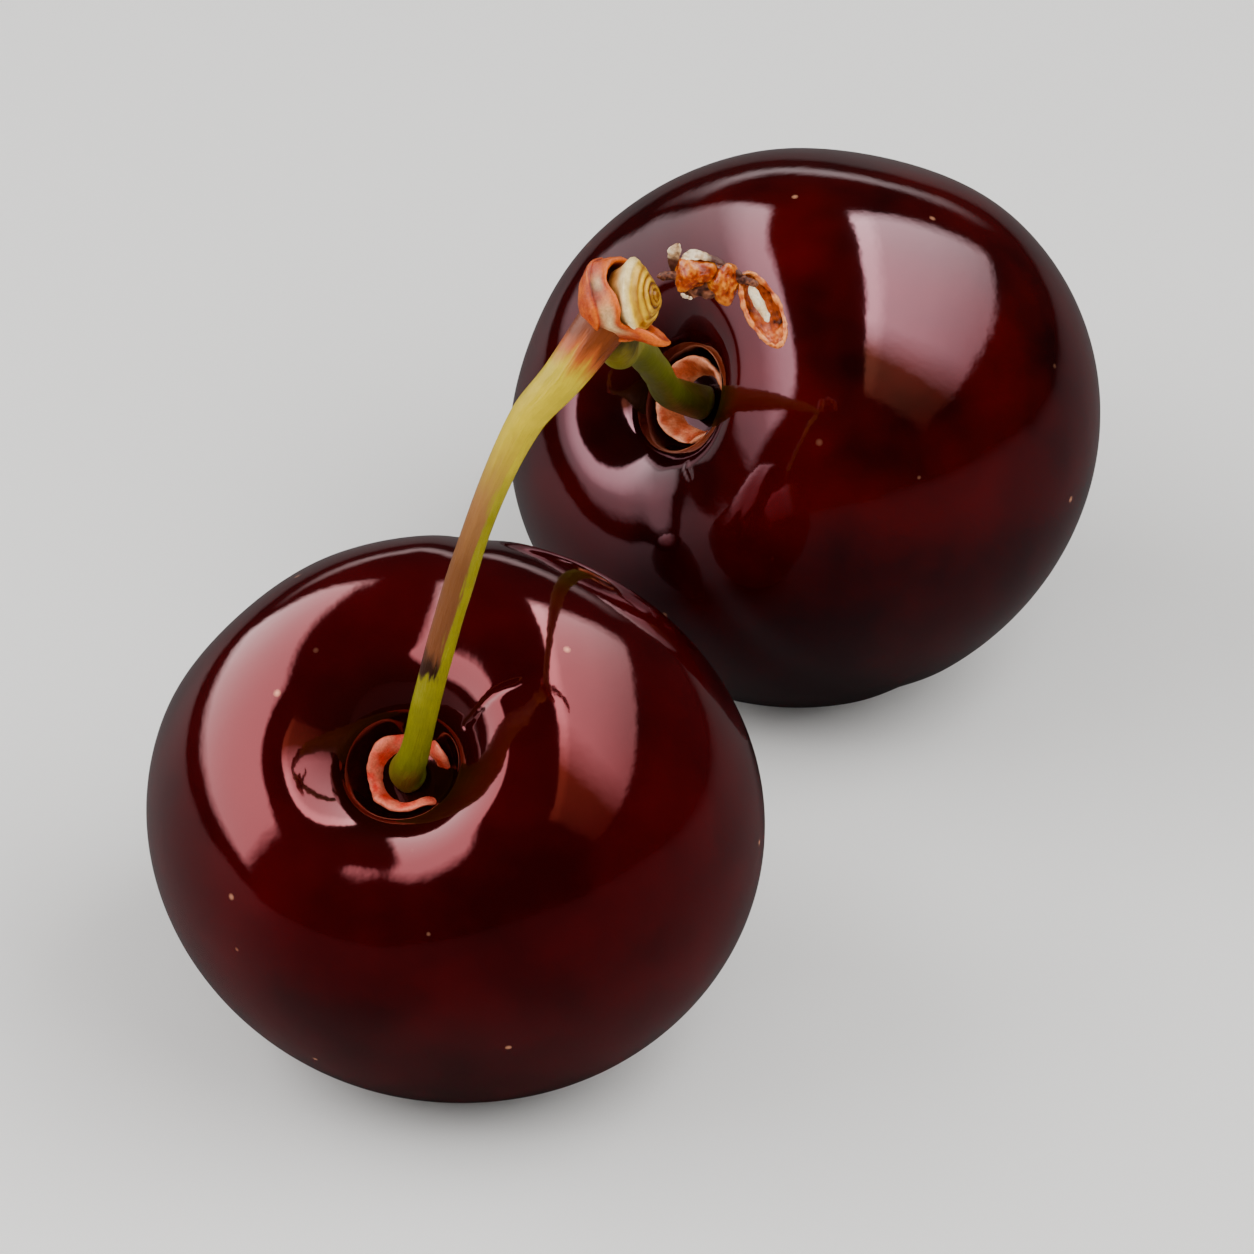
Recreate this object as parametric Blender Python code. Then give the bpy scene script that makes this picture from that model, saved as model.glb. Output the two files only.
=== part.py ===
"""A pair of dark sweet cherries on two stalks that grew from one spur.

Metres, +Z up. The pair lies on a flat surface at z = 0 on the small foot that each fruit settles on,
with the stalks arching up to the spur. The front of the pair is the -Y side. The origin is at the
middle of the pair's footprint, on that surface.
"""
import math

import bmesh
import bpy
from mathutils import Matrix, Vector
from mathutils.geometry import interpolate_bezier

MM = 0.001  # every size below is in millimetres

# ---- fruit ----
FRONT_WIDTH = 28.8       # front fruit, across its two shoulders
FRONT_DEPTH = 26.2       # front fruit, through its suture line
BACK_WIDTH = 29.6
BACK_DEPTH = 27.0
CROWN_HEIGHT = 11.9      # widest level up to the shoulder round the stem cavity
BASE_HEIGHT = 12.7       # widest level down to the flower-end scar
CAVITY_DEPTH = 3.9       # shoulder down to the cavity floor
CAVITY_RADIUS = 5.9      # stem axis to the top of the shoulder
SHOULDER_DROP = 1.9      # top of the shoulder down to where the throat begins
SHOULDER_ROUNDING = 1.8  # power of the curve from shoulder to throat
THROAT_RUN = 0.5         # the throat is this much wider at its top than at the cavity floor
SHOULDER_DIP = 0.7       # the shoulder is this much lower over the suture
SUTURE_DEPTH = 0.32      # groove of the suture line
SUTURE_HALF_ANGLE = 9.0  # degrees of turn from the groove's middle to its edge
SCAR_RADIUS = 1.3        # flower-end scar
SCAR_DEPTH = 0.3
FOOT_DEPTH = 0.22        # how far the skin flattens where the fruit rests

# ---- stalks ----
STALK_BASE_RADIUS = 0.85    # in the fruit's cavity
STALK_MIDDLE_RADIUS = 0.66
FRONT_FLARE_RADIUS = 1.15   # where the front stalk widens into the spur
BACK_FLARE_RADIUS = 0.90
FLARE_SHARE = 0.35          # share of a stalk's length over which it widens to the spur
FOOT_SHARE = 0.20           # share of a stalk's length over which it slims from its base
STRAIGHT_RUN = 1.6          # each stalk leaves the fruit and meets the spur straight
RING_CLEARANCE = 0.55       # the torn receptacle ring stands this far off the stalk's base
RING_WALL = 0.70
RING_HEIGHT = 0.7

# ---- spur ----
CUFF_RADIUS = 2.35       # rounded cuff of bud scales
CUFF_WALL = 0.4
CUFF_MOUTH = 0.35        # spur centre out to the cuff's mouth
CUFF_LIP = 0.12          # the mouth flares this far past the cuff's wall
KNOB_LENGTH = 2.3        # half of it stands out of the cuff's mouth
KNOB_CHAMFER = 0.2
KNOB_TAPER = 0.18        # each ring scar is this much slimmer than the one before
KNOB_RIDGE = 0.12        # height of each ring scar
KNOB_RIDGES = 3

GAP = 0.3                # clearance between neighbouring pieces
KNOB_RADIUS = CUFF_RADIUS - CUFF_WALL - GAP - KNOB_RIDGE
KNOB_END = CUFF_MOUTH + KNOB_LENGTH / 2

# ---- places, with x to the right, y to the back and z up ----
FRONT_FRUIT = Vector((-8.0, -13.5))
BACK_FRUIT = Vector((8.8, 17.0))
FRONT_STEM_AXIS = Vector((-0.257, -0.584, 0.770)).normalized()
BACK_STEM_AXIS = Vector((-0.663, -0.514, 0.543)).normalized()
FRONT_SUTURE = Vector((0.10, 0.60, 0.80))      # the side of the stem that the suture runs down
BACK_SUTURE = Vector((0.35, -0.55, -0.76))
SPUR_CENTRE = Vector((-0.8, -20.2, 46.3))
SPUR_AXIS = Vector((0.918, -0.251, 0.307)).normalized()
FRONT_STALK_SEAT = Vector((-0.60, -0.46, -0.66)).normalized()
BACK_STALK_SEAT = Vector((-0.02, 0.42, -0.90)).normalized()

# Each bow is a share of the way from fruit to spur and a sideways offset from the straight line.
FRONT_BOWS = (
    (0.10, Vector((-0.5, -1.7, 0.0))),
    (0.27, Vector((-1.2, -2.7, 0.0))),
    (0.50, Vector((-1.8, -3.0, 0.2))),
    (0.72, Vector((-2.0, -2.6, 0.3))),
    (0.87, Vector((-1.5, -1.5, 0.3))),
)
BACK_BOWS = (
    (0.09, Vector((-1.1, 0.2, 0.1))),
    (0.26, Vector((-1.0, 0.4, 0.3))),
    (0.52, Vector((-0.7, 0.4, 0.3))),
    (0.77, Vector((-0.4, 0.2, 0.1))),
)

# ---- dried scales ----
# A place is degrees round the spur's axis from its upper side, out from the axis, and on past the
# knob's end. Half sizes are across, through and along the scale.
DRIED_SCALES = (
    {"name": "dried_bract_inner", "place": (75, 1.18, 1.76), "half_sizes": (1.15, 0.60, 1.20),
     "cupping": 0.25, "along": (0.20, 0.30, 0.93), "face": (1.0, 0.0, 0.0)},
    {"name": "dried_bract_outer", "place": (112, 1.47, 3.16), "half_sizes": (1.05, 0.55, 1.05),
     "cupping": 0.25, "along": (0.35, 0.20, 0.91), "face": (1.0, 0.0, 0.0)},
    {"name": "hanging_scale", "place": (159, 2.18, 4.81), "half_sizes": (0.68, 0.28, 1.75),
     "cupping": 0.20, "along": (-0.46, 0.62, 0.63), "face": (0.2, -0.8, 0.6)},
)
PAPERY_SCALES = (
    {"name": "papery_scale_low", "place": (44, KNOB_RADIUS + 0.86, 0.65),
     "half_sizes": (0.80, 0.20, 0.95), "cupping": 0.15, "along": (0.8, 0.2, 0.5),
     "face": (-0.3, 0.2, 0.9)},
    {"name": "papery_scale_high", "place": (43, KNOB_RADIUS + 1.14, 2.53),
     "half_sizes": (0.70, 0.18, 0.80), "cupping": 0.15, "along": (0.95, 0.10, 0.10),
     "face": (-0.1, 0.1, 0.9)},
    {"name": "papery_scale_front", "place": (-159, 1.02, 0.80),
     "half_sizes": (0.55, 0.16, 0.60), "cupping": 0.10, "along": (0.2, -0.3, 0.9),
     "face": (0.9, -0.4, 0.0)},
)

# ---- fineness of the meshes ----
TURN_STEPS = 48
CAVITY_STEPS = 7
CROWN_STEPS = 8
BASE_STEPS = 10
STALK_POINTS = 26
CURVE_STEPS = 16         # steps between two stops of a route before it is evened out
STALK_BEVEL = 4
SMALL_TURN_STEPS = 24
RING_SECTION_STEPS = 8
CUFF_STEPS = 6
SCALE_STEPS = (12, 8)    # round a scale, and along it
SLIVER = 0.04            # edges shorter than this are merged where the foot is cut


def clear_scene():
    """Start from an empty scene."""
    for old in list(bpy.data.objects):
        bpy.data.objects.remove(old, do_unlink=True)


def make_material(name, colour, roughness):
    """A plain Principled finish; nothing on the pair is metallic."""
    material = bpy.data.materials.new(name)
    material.use_nodes = True
    shader = material.node_tree.nodes["Principled BSDF"]
    shader.inputs["Base Color"].default_value = (*colour, 1.0)
    shader.inputs["Roughness"].default_value = roughness
    shader.inputs["Metallic"].default_value = 0.0
    return material


def add_object(name, data, material, parent, matrix=None):
    """Put a mesh or a curve in the scene under the pair's parent."""
    data.materials.append(material)
    piece = bpy.data.objects.new(name, data)
    bpy.context.scene.collection.objects.link(piece)
    piece.parent = parent
    piece.matrix_local = matrix if matrix else Matrix.Identity(4)
    return piece


def mesh_from(name, shape, crease_degrees):
    """Turn a bmesh into a smooth-shaded mesh that keeps its real creases."""
    bmesh.ops.recalc_face_normals(shape, faces=shape.faces)
    mesh = bpy.data.meshes.new(name)
    shape.to_mesh(mesh)
    shape.free()
    mesh.shade_smooth()
    mesh.set_sharp_from_angle(angle=math.radians(crease_degrees))
    return mesh


def frame_at(place, axis, side):
    """A frame at a place with z along the axis and y as near as it can be to the side."""
    z = axis.normalized()
    y = (side - z * side.dot(z)).normalized()
    x = y.cross(z)
    turn = Matrix((x, y, z)).transposed().to_4x4()
    return Matrix.Translation(place * MM) @ turn


def turned(profile, steps):
    """Spin an outline of (radius, height) points, in millimetres, round z into a closed body."""
    shape = bmesh.new()
    points = [shape.verts.new((radius * MM, 0.0, height * MM)) for radius, height in profile]
    edges = [shape.edges.new(pair) for pair in zip(points, points[1:])]
    bmesh.ops.spin(shape, geom=points + edges, axis=(0, 0, 1), cent=(0, 0, 0),
                   angle=math.tau, steps=steps, use_merge=True)
    bmesh.ops.remove_doubles(shape, verts=shape.verts, dist=1e-6)
    return shape


# ---- the fruit ----
def socket_radius():
    """The flat cavity floor holds the stalk's base and its receptacle ring."""
    return STALK_BASE_RADIUS + RING_CLEARANCE + RING_WALL + GAP


def fruit_profile(half_width):
    """Half outline of a fruit: cavity floor, throat, shoulder, widest level, flower-end scar."""
    floor = CROWN_HEIGHT - CAVITY_DEPTH
    throat = socket_radius() + THROAT_RUN
    outline = [(0.0, floor), (socket_radius(), floor)]
    for step in range(CAVITY_STEPS):
        share = 1 - step / CAVITY_STEPS
        outline.append((CAVITY_RADIUS - (CAVITY_RADIUS - throat) * share,
                        CROWN_HEIGHT - SHOULDER_DROP * share ** SHOULDER_ROUNDING))
    for step in range(CROWN_STEPS):
        turn = step / CROWN_STEPS * math.pi / 2
        radius = CAVITY_RADIUS + (half_width - CAVITY_RADIUS) * math.sin(turn)
        outline.append((radius, CROWN_HEIGHT * math.cos(turn)))
    for step in range(BASE_STEPS):
        turn = step / BASE_STEPS * math.pi / 2
        outline.append((half_width * math.cos(turn), -BASE_HEIGHT * math.sin(turn)))
    outline.append((SCAR_RADIUS, -BASE_HEIGHT + SCAR_DEPTH * 0.3))
    outline.append((0.0, -BASE_HEIGHT + SCAR_DEPTH))
    return outline


def shape_fruit(shape, flattening):
    """Flatten the turned body through the suture, dip its shoulders and press in the groove."""
    for point in shape.verts:
        radius = math.hypot(point.co.x, point.co.y) / MM
        if radius < 1e-3:
            continue
        across = abs(point.co.y / MM) / radius
        off_suture = math.degrees(math.atan2(abs(point.co.x), point.co.y))
        crown = max(point.co.z / MM, 0.0) / CROWN_HEIGHT
        outside = min(max((radius - socket_radius()) / (CAVITY_RADIUS - socket_radius()), 0.0), 1.0)
        point.co.z -= SHOULDER_DIP * across ** 2 * crown ** 2 * outside * MM
        groove = SUTURE_DEPTH * math.exp(-(off_suture / SUTURE_HALF_ANGLE) ** 2 * 2)
        point.co *= 1 - groove * outside * min(radius / CAVITY_RADIUS, 1.0) / radius
        point.co.y *= 1 - (1 - flattening) * outside


def add_fruit(name, width, depth, spot, stem_axis, suture_side, material, parent):
    """Model a fruit, stand it so that it rests on its side and flatten its foot. Returns its frame."""
    shape = turned(fruit_profile(width / 2), TURN_STEPS)
    shape_fruit(shape, depth / width)
    lying = frame_at(Vector((0, 0, 0)), stem_axis, suture_side)
    lowest = min((lying @ point.co).z for point in shape.verts) / MM
    centre = Vector((spot.x, spot.y, -lowest - FOOT_DEPTH))
    place = frame_at(centre, stem_axis, suture_side)

    back = place.inverted()
    ground_up = back.to_3x3() @ Vector((0, 0, 1))
    geometry = list(shape.verts) + list(shape.edges) + list(shape.faces)
    cut = bmesh.ops.bisect_plane(shape, geom=geometry, dist=1e-6, plane_co=back @ Vector((0, 0, 0)),
                                 plane_no=ground_up, clear_inner=True)
    rim = [item for item in cut["geom_cut"] if isinstance(item, bmesh.types.BMEdge)]
    rim_points = list({end for edge in rim for end in edge.verts})
    bmesh.ops.remove_doubles(shape, verts=rim_points, dist=SLIVER * MM)
    rim = [edge for edge in shape.edges if edge.is_boundary]
    bmesh.ops.contextual_create(shape, geom=rim)
    add_object(name, mesh_from(name, shape, 40), material, parent, place)
    return place


# ---- the stalks ----
def smooth_route(stops, count):
    """Evenly spaced points along a smooth curve through the stops."""
    ends = [stops[0]] + stops + [stops[-1]]
    leads = [(after - before).normalized() for before, after in zip(ends, ends[2:])]
    fine = [stops[0]]
    for number in range(len(stops) - 1):
        start, end = stops[number], stops[number + 1]
        reach = (end - start).length / 3
        fine += interpolate_bezier(start, start + leads[number] * reach,
                                   end - leads[number + 1] * reach, end, CURVE_STEPS)[1:]
    steps = [(b - a).length for a, b in zip(fine, fine[1:])]
    spacing = sum(steps) / (count - 1)
    route = [fine[0]]
    walked = 0.0
    for start, end, step in zip(fine, fine[1:], steps):
        while len(route) < count - 1 and walked + step >= spacing * len(route):
            route.append(start.lerp(end, (spacing * len(route) - walked) / step))
        walked += step
    route.append(fine[-1])
    return route


def stalk_radius(share, flare_radius):
    """A stalk is a little thick in the cavity, slim in the middle and flared into the spur."""
    foot = max(1 - share / FOOT_SHARE, 0.0) ** 2
    flare = max((share - 1 + FLARE_SHARE) / FLARE_SHARE, 0.0) ** 1.6
    return (STALK_MIDDLE_RADIUS + (STALK_BASE_RADIUS - STALK_MIDDLE_RADIUS) * foot
            + (flare_radius - STALK_MIDDLE_RADIUS) * flare)


def add_stalk(name, fruit_place, stem_axis, seat_direction, bows, flare_radius, material, parent):
    """Sweep a stalk from just over the cavity floor to just under the spur's cuff."""
    floor = Vector((0, 0, (CROWN_HEIGHT - CAVITY_DEPTH + GAP) * MM))
    base = (fruit_place @ floor) / MM
    top = SPUR_CENTRE + seat_direction * (CUFF_RADIUS + GAP)
    stops = [base, base + stem_axis * STRAIGHT_RUN]
    stops += [base.lerp(top, share) + bow for share, bow in bows]
    stops += [top + seat_direction * STRAIGHT_RUN, top]
    route = smooth_route(stops, STALK_POINTS)

    curve = bpy.data.curves.new(name, "CURVE")
    curve.dimensions = "3D"
    curve.bevel_depth = MM
    curve.bevel_resolution = STALK_BEVEL
    curve.use_fill_caps = True
    spline = curve.splines.new("POLY")
    spline.points.add(len(route) - 1)
    for number, (point, place) in enumerate(zip(spline.points, route)):
        point.co = (*(place * MM), 1.0)
        point.radius = stalk_radius(number / (len(route) - 1), flare_radius)
    add_object(name, curve, material, parent)


def add_receptacle(name, fruit_place, material, parent):
    """The torn ring of the receptacle lies on the cavity floor round the stalk's base."""
    inner = STALK_BASE_RADIUS + RING_CLEARANCE
    bottom = CROWN_HEIGHT - CAVITY_DEPTH + GAP
    middle = inner + RING_WALL / 2
    ring = []
    for step in range(RING_SECTION_STEPS + 1):
        turn = step / RING_SECTION_STEPS * math.tau
        ring.append((middle + RING_WALL / 2 * math.cos(turn),
                     bottom + RING_HEIGHT / 2 * (1 - math.sin(turn))))
    shape = turned(ring, SMALL_TURN_STEPS)
    add_object(name, mesh_from(name, shape, 60), material, parent, fruit_place)


# ---- the spur ----
def add_cuff(material, parent, place):
    """A rounded cup of dried bud scales whose mouth holds the knob."""
    bore = CUFF_RADIUS - CUFF_WALL
    bore_floor = KNOB_END - KNOB_LENGTH - GAP
    outline = []
    for step in range(CUFF_STEPS + 1):
        turn = math.pi / 2 * (1 - step / CUFF_STEPS)
        outline.append((CUFF_RADIUS * math.cos(turn), -CUFF_RADIUS * math.sin(turn)))
    outline.append((CUFF_RADIUS + CUFF_LIP, CUFF_MOUTH))
    outline.append((bore, CUFF_MOUTH))
    outline.append((bore, bore_floor))
    outline.append((0.0, bore_floor))
    shape = turned(outline, SMALL_TURN_STEPS)
    add_object("bract_cuff", mesh_from("bract_cuff", shape, 45), material, parent, place)


def add_knob(material, parent, place):
    """The stub of the spur, marked with ring scars, half inside the cuff."""
    bottom = KNOB_END - KNOB_LENGTH
    pitch = (KNOB_END - CUFF_MOUTH) / KNOB_RIDGES
    outline = [(0.0, bottom), (KNOB_RADIUS - KNOB_CHAMFER, bottom), (KNOB_RADIUS, bottom + KNOB_CHAMFER)]
    for number in range(KNOB_RIDGES):
        level = CUFF_MOUTH + number * pitch
        radius = KNOB_RADIUS - KNOB_TAPER * number
        outline.append((radius, level))
        outline.append((radius + KNOB_RIDGE, level + pitch / 3))
        outline.append((radius - KNOB_TAPER / 2, level + pitch * 2 / 3))
    outline.append((0.0, KNOB_END))
    shape = turned(outline, SMALL_TURN_STEPS)
    add_object("ring_scar_knob", mesh_from("ring_scar_knob", shape, 50), material, parent, place)


def add_scale(scale, material, parent, spur):
    """A dried scale: a lens-shaped body along its long axis, cupped across its face."""
    shape = bmesh.new()
    bmesh.ops.create_uvsphere(shape, u_segments=SCALE_STEPS[0], v_segments=SCALE_STEPS[1], radius=1.0)
    across, through, along = scale["half_sizes"]
    for point in shape.verts:
        x, y, z = point.co
        cupped = scale["cupping"] * (x * x + 0.5 * z * z)
        point.co = Vector((x * across, y * through + cupped, z * along)) * MM
    around, out, beyond = scale["place"]
    turn = math.radians(around)
    spot = spur @ (Vector((out * math.sin(turn), out * math.cos(turn), KNOB_END + beyond)) * MM)
    place = frame_at(spot / MM, Vector(scale["along"]), Vector(scale["face"]))
    add_object(scale["name"], mesh_from(scale["name"], shape, 50), material, parent, place)


def middle_of_footprint(pieces):
    """Middle, left to right and front to back, of the box round all the pieces."""
    bpy.context.view_layer.update()
    graph = bpy.context.evaluated_depsgraph_get()
    corners = []
    for piece in pieces:
        solid = piece.evaluated_get(graph)
        mesh = solid.to_mesh()
        corners += [solid.matrix_world @ point.co for point in mesh.vertices]
        solid.to_mesh_clear()
    middle = [(min(c[i] for c in corners) + max(c[i] for c in corners)) / 2 for i in (0, 1)]
    return Vector((*middle, 0.0))


def build():
    """Model the whole pair."""
    clear_scene()
    skin = make_material("cherry_skin", (0.060, 0.002, 0.005), 0.12)
    green = make_material("green_stalk", (0.300, 0.330, 0.030), 0.45)
    coral = make_material("torn_receptacle", (0.550, 0.110, 0.070), 0.50)
    brown = make_material("dried_bract", (0.450, 0.130, 0.025), 0.60)
    cream = make_material("spur_wood", (0.560, 0.420, 0.110), 0.60)
    paper = make_material("papery_scale", (0.600, 0.520, 0.430), 0.70)

    pair = bpy.data.objects.new("cherry_pair", None)
    bpy.context.scene.collection.objects.link(pair)

    front = add_fruit("cherry_front", FRONT_WIDTH, FRONT_DEPTH, FRONT_FRUIT, FRONT_STEM_AXIS,
                      FRONT_SUTURE, skin, pair)
    back = add_fruit("cherry_back", BACK_WIDTH, BACK_DEPTH, BACK_FRUIT, BACK_STEM_AXIS,
                     BACK_SUTURE, skin, pair)
    add_stalk("stalk_front", front, FRONT_STEM_AXIS, FRONT_STALK_SEAT, FRONT_BOWS,
              FRONT_FLARE_RADIUS, green, pair)
    add_stalk("stalk_back", back, BACK_STEM_AXIS, BACK_STALK_SEAT, BACK_BOWS,
              BACK_FLARE_RADIUS, green, pair)
    add_receptacle("receptacle_front", front, coral, pair)
    add_receptacle("receptacle_back", back, coral, pair)

    spur = frame_at(SPUR_CENTRE, SPUR_AXIS, Vector((0, 0, 1)))
    add_cuff(brown, pair, spur)
    add_knob(cream, pair, spur)
    for scale in DRIED_SCALES:
        add_scale(scale, brown, pair, spur)
    for scale in PAPERY_SCALES:
        add_scale(scale, paper, pair, spur)

    pair.location = -middle_of_footprint(pair.children)


build()
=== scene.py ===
import math

import bmesh
import bpy
import numpy as np
from mathutils import Matrix, Vector, noise
from mathutils.geometry import interpolate_bezier


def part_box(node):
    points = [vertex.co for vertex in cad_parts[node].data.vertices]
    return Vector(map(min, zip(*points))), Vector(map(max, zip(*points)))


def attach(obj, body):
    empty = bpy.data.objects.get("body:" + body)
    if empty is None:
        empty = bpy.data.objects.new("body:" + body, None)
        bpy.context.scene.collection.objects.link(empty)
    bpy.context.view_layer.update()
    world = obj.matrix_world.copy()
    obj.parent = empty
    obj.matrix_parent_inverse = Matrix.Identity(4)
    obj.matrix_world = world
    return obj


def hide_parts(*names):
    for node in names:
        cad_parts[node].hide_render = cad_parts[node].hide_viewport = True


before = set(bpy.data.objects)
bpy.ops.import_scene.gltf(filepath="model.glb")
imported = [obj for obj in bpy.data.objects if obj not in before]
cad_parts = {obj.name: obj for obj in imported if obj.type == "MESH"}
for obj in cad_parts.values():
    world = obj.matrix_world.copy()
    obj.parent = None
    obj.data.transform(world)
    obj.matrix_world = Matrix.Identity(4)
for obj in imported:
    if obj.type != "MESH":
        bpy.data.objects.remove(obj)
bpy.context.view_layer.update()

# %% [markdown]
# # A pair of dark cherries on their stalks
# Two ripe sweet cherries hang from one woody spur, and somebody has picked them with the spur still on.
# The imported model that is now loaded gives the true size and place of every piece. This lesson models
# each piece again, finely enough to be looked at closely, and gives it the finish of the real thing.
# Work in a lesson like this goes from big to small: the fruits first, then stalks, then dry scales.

MM = 0.001

# %% [markdown]
# ## Where the fruits sit
# A torn ring lies flat round the foot of each stalk. A ring is a handy thing to measure: the middle of
# its points is a spot on the stem axis, and the direction in which it is thinnest is the axis itself.
# That is enough to find each fruit's own upright direction, although both fruits lie tipped over.

# %% Find a fruit's frame from its ring
RING_TO_WIDEST = 8.65 * MM     # from the ring's middle down to the level where the fruit is widest


def spots_of(piece):
    """The places of a piece's points, one row each."""
    return np.array([tuple(point.co) for point in piece.data.vertices])


def frame_at(place, axis, side):
    """A frame at a place, with z along the axis and y as near as it can be to the side."""
    z = axis.normalized()
    y = (side - z * side.dot(z)).normalized()
    return Matrix.Translation(place) @ Matrix((y.cross(z), y, z)).transposed().to_4x4()


def ring_frame(ring_name, fruit_name, suture_side):
    """The fruit's frame: z up the stem axis, y towards the suture, origin at the widest level."""
    spots = spots_of(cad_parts[ring_name])
    middle = spots.mean(axis=0)
    thinnest = Vector(np.linalg.svd(spots - middle, full_matrices=False)[2][2])
    low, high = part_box(fruit_name)
    outwards = Vector(middle) - (low + high) / 2
    stem_axis = thinnest if thinnest.dot(outwards) > 0 else -thinnest
    return frame_at(Vector(middle) - stem_axis * RING_TO_WIDEST, stem_axis, suture_side)


front_place = ring_frame("receptacle_front", "cherry_front", Vector((0.10, 0.60, 0.80)))
back_place = ring_frame("receptacle_back", "cherry_back", Vector((0.35, -0.55, -0.76)))
for title, place in (("front", front_place), ("back", back_place)):
    print(title, "fruit centre in mm:", [round(v / MM, 1) for v in place.translation])

# %% [markdown]
# ## Selecting by place
# With the mouse we would click on points or drag a box over them. A script says the same thing as a
# test on each point's place. Everything is deselected first, because an operator acts on all that is
# selected, whatever we had in mind.

# %% Helpers for selecting


def object_mode():
    """Leave edit mode, if a piece is open in it."""
    if bpy.context.object and bpy.context.object.mode != "OBJECT":
        bpy.ops.object.mode_set(mode="OBJECT")


def pick(piece):
    """Make one piece the only selected and the active one."""
    object_mode()
    bpy.ops.object.select_all(action="DESELECT")
    piece.select_set(True)
    bpy.context.view_layer.objects.active = piece
    return piece


def edit(piece):
    """Open one piece in edit mode, and close any other."""
    pick(piece)
    bpy.ops.object.mode_set(mode="EDIT")


def take_all():
    """In edit mode, select the whole piece."""
    bpy.ops.mesh.select_all(action="SELECT")


def select_points(piece, test):
    """In edit mode, select the points for which the test on their place is true. Returns how many."""
    shape = bmesh.from_edit_mesh(piece.data)
    for part in (shape.verts, shape.edges, shape.faces):
        for item in part:
            item.select = False
    chosen = [point for point in shape.verts if test(point.co)]
    for point in chosen:
        point.select = True
    shape.select_flush_mode()
    bmesh.update_edit_mesh(piece.data)
    return len(chosen)


# %% [markdown]
# ## Drawing with one point
# An outline could be drawn as a curve, but we want to choose each of its points. So one point is
# extruded from stop to stop, and the line that it leaves behind is spun round an axis. Spinning leaves
# a seam and doubled points at both poles, so they are merged, and all faces are turned outwards.

# %% Start a piece, and turn an outline
SAME_SPOT = 1e-6        # points closer than this, in metres, become one


def start_piece(name, add, **settings):
    """Add a primitive with nothing else selected. Ends in edit mode, with all of it selected."""
    object_mode()
    bpy.ops.object.select_all(action="DESELECT")
    add(**settings)
    piece = bpy.context.object
    piece.name = name
    bpy.ops.object.mode_set(mode="EDIT")
    take_all()
    return piece


def start_outline(name, spot):
    """A new piece that is one point, ready to be extruded into an outline. Ends in edit mode."""
    piece = start_piece(name, bpy.ops.mesh.primitive_plane_add, size=MM)
    bpy.ops.mesh.merge(type="CENTER")
    bpy.ops.transform.translate(value=spot)
    return piece


def close_seams():
    """In edit mode, merge points that lie on each other and turn all faces outwards."""
    take_all()
    bpy.ops.mesh.remove_doubles(threshold=SAME_SPOT)
    bpy.ops.mesh.normals_make_consistent(inside=False)


def turn_outline(name, outline, steps):
    """Extrude an outline of (radius, height) points and spin it round z into a closed body."""
    spots = [Vector((radius * MM, 0, height * MM)) for radius, height in outline]
    piece = start_outline(name, spots[0])
    for before, after in zip(spots, spots[1:]):
        bpy.ops.mesh.extrude_region_move(TRANSFORM_OT_translate={"value": after - before})
    take_all()
    bpy.ops.mesh.spin(steps=steps, angle=math.tau, center=(0, 0, 0), axis=(0, 0, 1))
    close_seams()
    return piece


print("helpers ready; points merge when closer than", SAME_SPOT / MM, "mm")

# %% [markdown]
# ## Turning a fruit
# A cherry is close to a turned shape: a funnel where the stalk goes in, a rounded shoulder, full sides
# and a small scar where the flower was. We could squash a ball, but the funnel would come out crumpled.
# Drawing half of the outline and spinning it round the stem axis, as on a lathe, keeps every ring of
# points even, and even rings are what makes the reflections on a glossy skin run smoothly.

# %% Half the outline of a fruit
CROWN = 11.9            # widest level up to the shoulder, in millimetres
BASE = 12.7             # widest level down to the scar
FUNNEL_DEPTH = 3.9
FUNNEL_RADIUS = 5.9     # stem axis to the top of the shoulder
THROAT_RADIUS = 2.9     # where the rounded shoulder turns down into the throat
SHOULDER_DROP = 1.9     # top of the shoulder down to the throat
TURN_STEPS = 96


def fruit_outline(half_width):
    floor = CROWN - FUNNEL_DEPTH
    outline = [(0.0, floor - 0.25), (0.9, floor - 0.15), (1.7, floor), (2.15, floor + 0.18),
               (2.40, floor + 0.62), (2.58, floor + 1.15), (2.72, floor + 1.62)]
    for step in range(9):
        share = 1 - step / 9
        outline.append((FUNNEL_RADIUS - (FUNNEL_RADIUS - THROAT_RADIUS) * share,
                        CROWN - SHOULDER_DROP * share ** 1.8))
    for step in range(11):
        turn = step / 11 * math.pi / 2
        outline.append((FUNNEL_RADIUS + (half_width - FUNNEL_RADIUS) * math.sin(turn),
                        CROWN * math.cos(turn)))
    for step in range(13):
        turn = step / 13 * math.pi / 2
        outline.append((half_width * math.cos(turn), -BASE * math.sin(turn)))
    outline += [(1.0, -BASE + 0.03), (0.7, -BASE + 0.16), (0.35, -BASE + 0.22), (0.0, -BASE + 0.2)]
    return outline


print("points in half an outline:", len(fruit_outline(14.4)))

# %% [markdown]
# ## Pulling with a soft reach
# Nobody's cherry is perfectly round. Proportional editing moves a point and takes its neighbours along,
# less and less with distance, just as a thumb pressed into clay does. A low dip over the suture, the
# groove of the suture itself and a few shallow dents turn the lathe's perfect body into a fruit.

# %% A pull, a groove and a dent
SHARP_PULL = 0.6 * MM   # a pull takes hold of all points this close to its place


def pull(piece, near, by, reach, within=SHARP_PULL):
    """Move the points close to a place, taking along what lies within reach."""
    if select_points(piece, lambda spot: (spot - near).length < within) == 0:
        shape = bmesh.from_edit_mesh(piece.data)
        nearest = min(shape.verts, key=lambda point: (point.co - near).length).co.copy()
        select_points(piece, lambda spot: (spot - nearest).length < SAME_SPOT / 10)
    bpy.ops.transform.translate(value=by, use_proportional_edit=True,
                                proportional_edit_falloff="SMOOTH", proportional_size=reach)


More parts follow.
